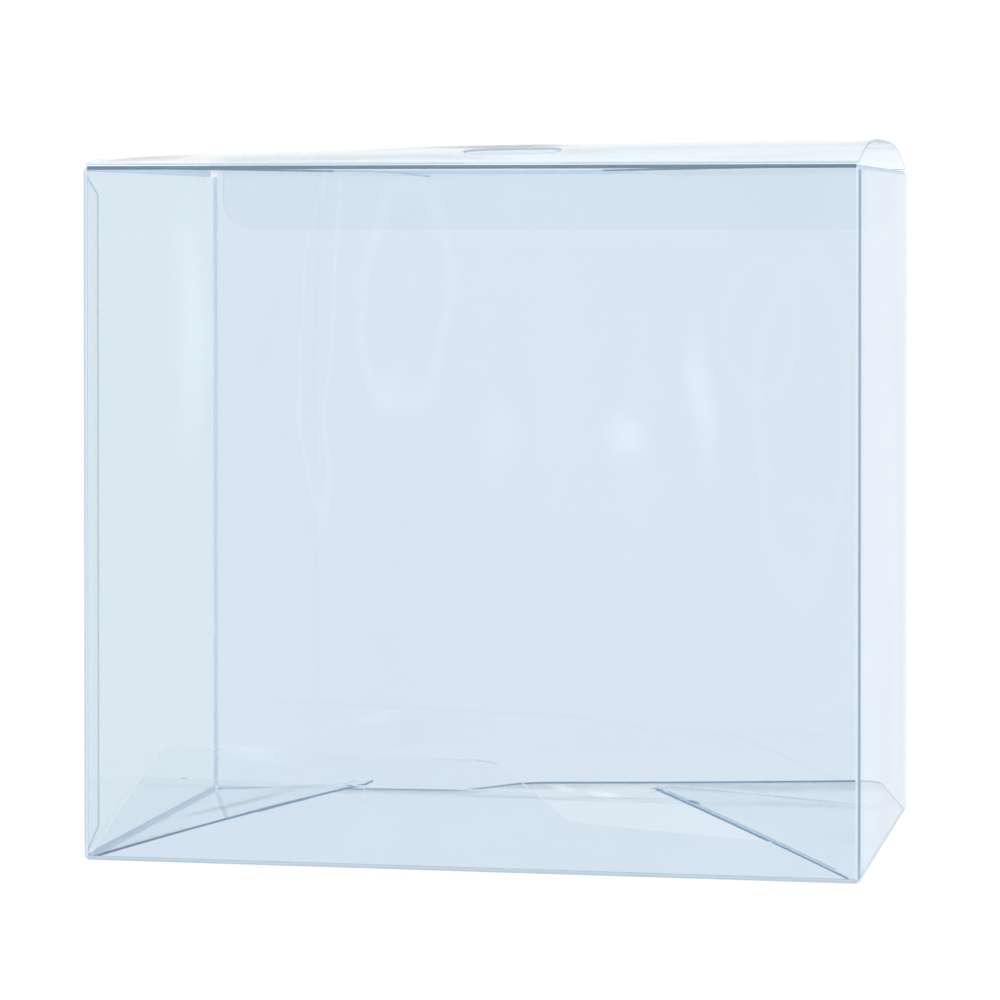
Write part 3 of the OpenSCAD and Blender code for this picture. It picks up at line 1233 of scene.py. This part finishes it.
@dataclass
class BowedLid(SheetPart):
    """The lid: its bowed panel with the finger hole, its crease and its tuck flap.

    Attributes:
        body: The moving body of the lid.
        rise_left: Rise at the left end.
        rise_right: Rise at the right end.
        power: Exponent of the bow.
        gap: Gap over the walls.
        tuck_gap: Gap between the tuck flap and the back wall.
        tuck_height: Height of the tuck flap.
        tuck_lean: Lean of the tuck flap from upright.
        tuck_inset: Distance from each end to the tuck flap.
        tuck_corner: Radius of its corners.
        hole: Width and depth of the finger hole.
        hole_at: Place of the hole's middle, from the middle and from the front crease.
    """

    body: str = "lid"
    rise_left: float = 0.0029
    rise_right: float = 0.0067
    power: float = 3.0
    gap: float = 0.0003
    tuck_gap: float = 0.0006
    tuck_height: float = 0.0165
    tuck_lean: float = 7.0
    tuck_inset: float = 0.003
    tuck_corner: float = 0.009
    hole: Point = (0.026, 0.010)
    hole_at: Point = (0.0095, 0.016)

    @property
    def back(self) -> float:
        """Outer face of the tuck flap's crease on Y."""
        return self.sizes.half_d - self.sizes.sheet - self.tuck_gap

    def _bow(self, u: float, v: float) -> float:
        """Gives the lid's rise.

        Args:
            u: Share of the width, from the left.
            v: Share of the depth, from the front.

        Returns:
            The rise over the front crease.
        """
        peak = self.rise_left + (self.rise_right - self.rise_left) * math.sin(math.pi / 2 * u)
        return peak * (1 - abs(2 * v - 1) ** self.power)

    def build(self) -> bpy.types.Object:
        """Builds the panel and what turns down from it.

        Returns:
            The panel.
        """
        s = self.sizes
        Bench.clear_selection()
        bpy.ops.mesh.primitive_grid_add(x_subdivisions=48, y_subdivisions=36, size=1.0)
        panel = Bench.take("lid_panel")
        front = -s.half_d + self.gap
        length = self.back - s.crease - front
        half = s.half_w - s.sheet

        def bowed(p: Vector) -> Vector:
            """Lays a point of the flat grid on the bowed lid's top face.

            Args:
                p: A point of the flat piece.

            Returns:
                Its new place.
            """
            u, v = p.x + 0.5, p.y + 0.5
            top = s.height + self.gap + s.sheet
            return Vector((2 * half * p.x, front + v * length, top + self._bow(u, v)))

        Bench.shift(panel, bowed)
        Bench.thicken(panel, s.sheet, outward=False)
        self._cut_hole(panel)
        self.dress(panel, Film.LID, Film.BRIGHT_EDGE)
        self._mark_hole(panel)
        Bench.smooth(panel, 35.0)
        self.keep(panel)
        self._tuck()
        return panel

    def _cut_hole(self, panel: bpy.types.Object) -> None:
        """Cuts the finger hole with a round-ended cutter.

        Args:
            panel: The lid panel.
        """
        s = self.sizes
        width, depth = self.hole
        run, r = (width - depth) / 2, depth / 2
        outline = [*arc(run, 0.0, r, -90, 90, 16), *arc(-run, 0.0, r, 90, 270, 16)]
        cutter = Bench.flat_sheet("hole_cutter", outline, 0.5)
        Bench.thicken(cutter, 0.03, outward=True)
        x, y = self.hole_at
        Bench.place(cutter, Matrix.Translation((x, y - s.half_d, s.height - 0.005)))
        Bench.cut(panel, cutter, "finger_hole")

    def _mark_hole(self, panel: bpy.types.Object) -> None:
        """Gives the hole's own wall and the lid's scored front edge their finishes, both painted shade
        lines.

        Args:
            panel: The lid panel.
        """
        panel.data.materials.append(self.shelf.get(Film.BRIGHT_EDGE))
        panel.data.materials.append(self.shelf.get(Film.CREASE_FLANK))
        x, y = self.hole_at
        for polygon in panel.data.polygons:
            middle = polygon.center
            near = abs(middle.x - x) < self.hole[0] and abs(middle.y - y + self.sizes.half_d) < self.hole[1]
            if near and abs(polygon.normal.z) < 0.6:
                polygon.material_index = 2
            elif polygon.normal.y < -0.7:
                polygon.material_index = 3

    def _tuck(self) -> None:
        """Builds the tuck flap and the crease that turns it down."""
        s, r = self.sizes, self.tuck_corner
        lean = math.radians(self.tuck_lean)
        drop = self.tuck_height + self.gap + s.sheet - s.crease
        half = s.half_w - s.sheet - self.tuck_inset
        outline = [(-half, 0.0), *arc(-half + r, drop - r, r, 180, 90),
                   *arc(half - r, drop - r, r, 90, 0), (half, 0.0)]
        flap = Bench.flat_sheet("tuck_flap", outline, FLAP_CELL)
        Bench.shift(flap, lambda p: p + Vector((0.0, 0.0, s.crease)))
        Bench.thicken(flap, s.sheet, outward=False)
        where = Matrix.Translation((0.0, self.back - s.crease, s.height + self.gap + s.sheet - s.crease))
        Bench.place(flap, where @ Matrix.Rotation(-math.pi / 2 - lean, 4, "X"))
        self.dress(flap, Film.FLAP, Film.BRIGHT_EDGE)
        Bench.smooth(flap)
        self.keep(flap)
        self.crease("tuck_crease", 2 * half, -self.tuck_lean, 90, where, Film.FAINT_CREASE)


@dataclass
class FrontCrease(SheetPart):
    """Scored crease between the front wall and the lid.

    Attributes:
        radius: Radius of its bead.
    """

    radius: float = 0.0005

    def build(self) -> bpy.types.Object:
        """Builds the bead along the front wall's top edge.

        Returns:
            The crease.
        """
        s = self.sizes
        length = s.width - 2 * s.crease
        bead = Bench.bend("lid_crease", length, self.radius, 60, 300)
        Bench.thicken(bead, 0.0003, outward=False)
        Bench.place(bead, Matrix.Translation((0.0, -s.half_d + self.radius, s.height - 0.0004)))
        # The bead is dressed as the darkest painted shade line.
        self.dress(bead, Film.CREASE, Film.CREASE)
        Bench.smooth(bead)
        return self.keep(bead)


@dataclass
class Studio:
    """Floor, light and camera.

    Attributes:
        focal: Focal length in picture widths.
        eye: Place of the camera.
        yaw: Turn of the camera to the left of +Y.
        pitch: Tilt of the camera, where minus is down.
        axis_row: Row of the picture that the optical axis meets.
        rows: Height of the picture in rows.
        shade: Colour of the floor's soft shade under the case.
        shade_at: Half of the shade's width and depth.
    """

    focal: float = 3.975
    eye: tuple[float, float, float] = (0.2029, -1.0674, 0.1665)
    yaw: float = 10.94
    pitch: float = -0.745
    axis_row: float = 277.35
    rows: float = 1000.0
    shade: tuple[float, float, float] = (0.85, 0.90, 0.945)
    shade_at: Point = (0.1016, 0.0656)

    def camera(self) -> bpy.types.Object:
        """Sets the camera at the photograph's place.

        Returns:
            The camera.
        """
        lens = bpy.data.cameras.new("camera")
        lens.sensor_width = 36.0
        lens.lens = 36.0 * self.focal
        lens.shift_y = (self.axis_row - self.rows / 2) / self.rows
        lens.clip_start = 0.01
        lens.clip_end = 50.0
        camera = bpy.data.objects.new("camera", lens)
        bpy.context.scene.collection.objects.link(camera)
        turn = Matrix.Rotation(math.radians(self.yaw), 4, "Z")
        tilt = Matrix.Rotation(math.radians(90 + self.pitch), 4, "X")
        camera.matrix_world = Matrix.Translation(self.eye) @ turn @ tilt
        bpy.context.scene.camera = camera
        return camera

    def floor(self) -> bpy.types.Object:
        """Lays the pale floor.

        Returns:
            The floor.
        """
        Bench.clear_selection()
        bpy.ops.mesh.primitive_plane_add(size=60.0, location=(0.0, 0.0, 0.0))
        floor = Bench.take("floor")
        material = bpy.data.materials.new("pale_floor")
        material.use_nodes = True
        body = material.node_tree.nodes["Principled BSDF"]
        body.inputs["Base Color"].default_value = (0.03, 0.03, 0.03, 1.0)
        body.inputs["Roughness"].default_value = 0.9
        body.inputs["Specular IOR Level"].default_value = 0.0
        body.inputs["Emission Color"].default_value = (1.0, 1.0, 1.0, 1.0)
        body.inputs["Emission Strength"].default_value = 1.0
        self._shade(material.node_tree)
        floor.data.materials.append(material)
        return floor

    def _shade(self, tree: bpy.types.ShaderNodeTree) -> None:
        """Shades the floor softly where the case stands on it.

        Args:
            tree: The floor material's nodes.
        """
        nodes, links = tree.nodes, tree.links
        place = nodes.new("ShaderNodeTexCoord")
        mapping = nodes.new("ShaderNodeMapping")
        mapping.inputs["Scale"].default_value = (1 / self.shade_at[0], 1 / self.shade_at[1], 0.0)
        size = nodes.new("ShaderNodeVectorMath")
        size.operation = "ABSOLUTE"
        parts = nodes.new("ShaderNodeSeparateXYZ")
        far = nodes.new("ShaderNodeMath")
        far.operation = "MAXIMUM"
        inside = nodes.new("ShaderNodeMapRange")
        inside.interpolation_type = "SMOOTHSTEP"
        inside.inputs["From Min"].default_value = 0.97
        inside.inputs["From Max"].default_value = 1.0
        mix = nodes.new("ShaderNodeMix")
        mix.data_type = "RGBA"
        mix.inputs[6].default_value = (*self.shade, 1.0)
        mix.inputs[7].default_value = (1.0, 1.0, 1.0, 1.0)
        links.new(place.outputs["Object"], mapping.inputs["Vector"])
        links.new(mapping.outputs["Vector"], size.inputs[0])
        links.new(size.outputs["Vector"], parts.inputs["Vector"])
        links.new(parts.outputs["X"], far.inputs[0])
        links.new(parts.outputs["Y"], far.inputs[1])
        links.new(far.outputs[0], inside.inputs["Value"])
        links.new(inside.outputs["Result"], mix.inputs[0])
        links.new(mix.outputs[2], nodes["Principled BSDF"].inputs["Emission Color"])

    def light(self) -> None:
        """Surrounds the case with white studio light that is a little darker overhead."""
        world = bpy.data.worlds.new("studio")
        bpy.context.scene.world = world
        world.use_nodes = True
        nodes, links = world.node_tree.nodes, world.node_tree.links
        back = nodes["Background"]
        place = nodes.new("ShaderNodeTexCoord")
        parts = nodes.new("ShaderNodeSeparateXYZ")
        ramp = nodes.new("ShaderNodeValToRGB")
        ramp.color_ramp.elements[0].position = 0.35
        ramp.color_ramp.elements[0].color = (1.03, 1.03, 1.03, 1.0)
        ramp.color_ramp.elements[1].position = 1.0
        ramp.color_ramp.elements[1].color = (0.62, 0.66, 0.72, 1.0)
        links.new(place.outputs["Generated"], parts.inputs["Vector"])
        links.new(parts.outputs["Z"], ramp.inputs["Fac"])
        links.new(ramp.outputs["Color"], back.inputs["Color"])
        self._softbox("key_light", (-0.9, -1.6, 1.2), (0.5, 1.4), 7.0)
        self._softbox("fill_light", (1.6, -0.9, 0.9), (0.5, 1.2), 1.2)

    def _softbox(self, name: str, spot: tuple[float, float, float], size: Point, power: float) -> None:
        """Hangs one soft light that points at the case.

        Args:
            name: Its name.
            spot: Its place.
            size: Its width and height.
            power: Its power in watts.
        """
        lamp = bpy.data.lights.new(name, "AREA")
        lamp.shape = "RECTANGLE"
        lamp.size, lamp.size_y = size
        lamp.energy = power
        holder = bpy.data.objects.new(name, lamp)
        bpy.context.scene.collection.objects.link(holder)
        aim = Vector((0.0, 0.0, 0.09)) - Vector(spot)
        holder.matrix_world = Matrix.Translation(spot) @ aim.to_track_quat("-Z", "Y").to_matrix().to_4x4()

    def look(self) -> None:
        """Sets the view transform and lets light pass through many layers."""
        scene = bpy.context.scene
        scene.view_settings.view_transform = "Standard"
        scene.view_settings.look = "None"
        scene.cycles.max_bounces = scene.cycles.transmission_bounces = LAYERS
        scene.cycles.glossy_bounces = MIRRORINGS
        scene.cycles.transparent_max_bounces = SEE_THROUGH


def main() -> None:
    """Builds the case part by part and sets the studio."""
    logging.basicConfig(level=logging.INFO, format="%(name)s: %(message)s")
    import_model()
    sizes = CaseSizes.from_frame()
    shelf = FinishShelf()
    studio = Studio()
    studio.camera()
    studio.floor()
    studio.light()
    studio.look()
    walls = WallSleeve(sizes, shelf).build()
    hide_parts("box")
    SeamFlap(sizes, shelf).build()
    for side in (-1, 1):
        DustFlap(sizes, shelf).build(side)
    LockingBottom(sizes, shelf).build()
    LockingBottom(sizes, shelf, rises=(13.9, 11.5, 10.2), side_rises=(13.8, 11.8),
                  edge_shade_lines=(("slant_edge_shade", 0.0006, 0.04, 0.99, 0.0011),
                         ("slant_edge_thin_shade", 0.0034, 0.10, 0.94, 0.0006)),
                  clear_from=1.0, vent=0.0032, label="back", turned=True).build()
    FrontCrease(sizes, shelf).build()
    panel = BowedLid(sizes, shelf).build()
    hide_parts("lid")


if __name__ == "__main__":
    main()
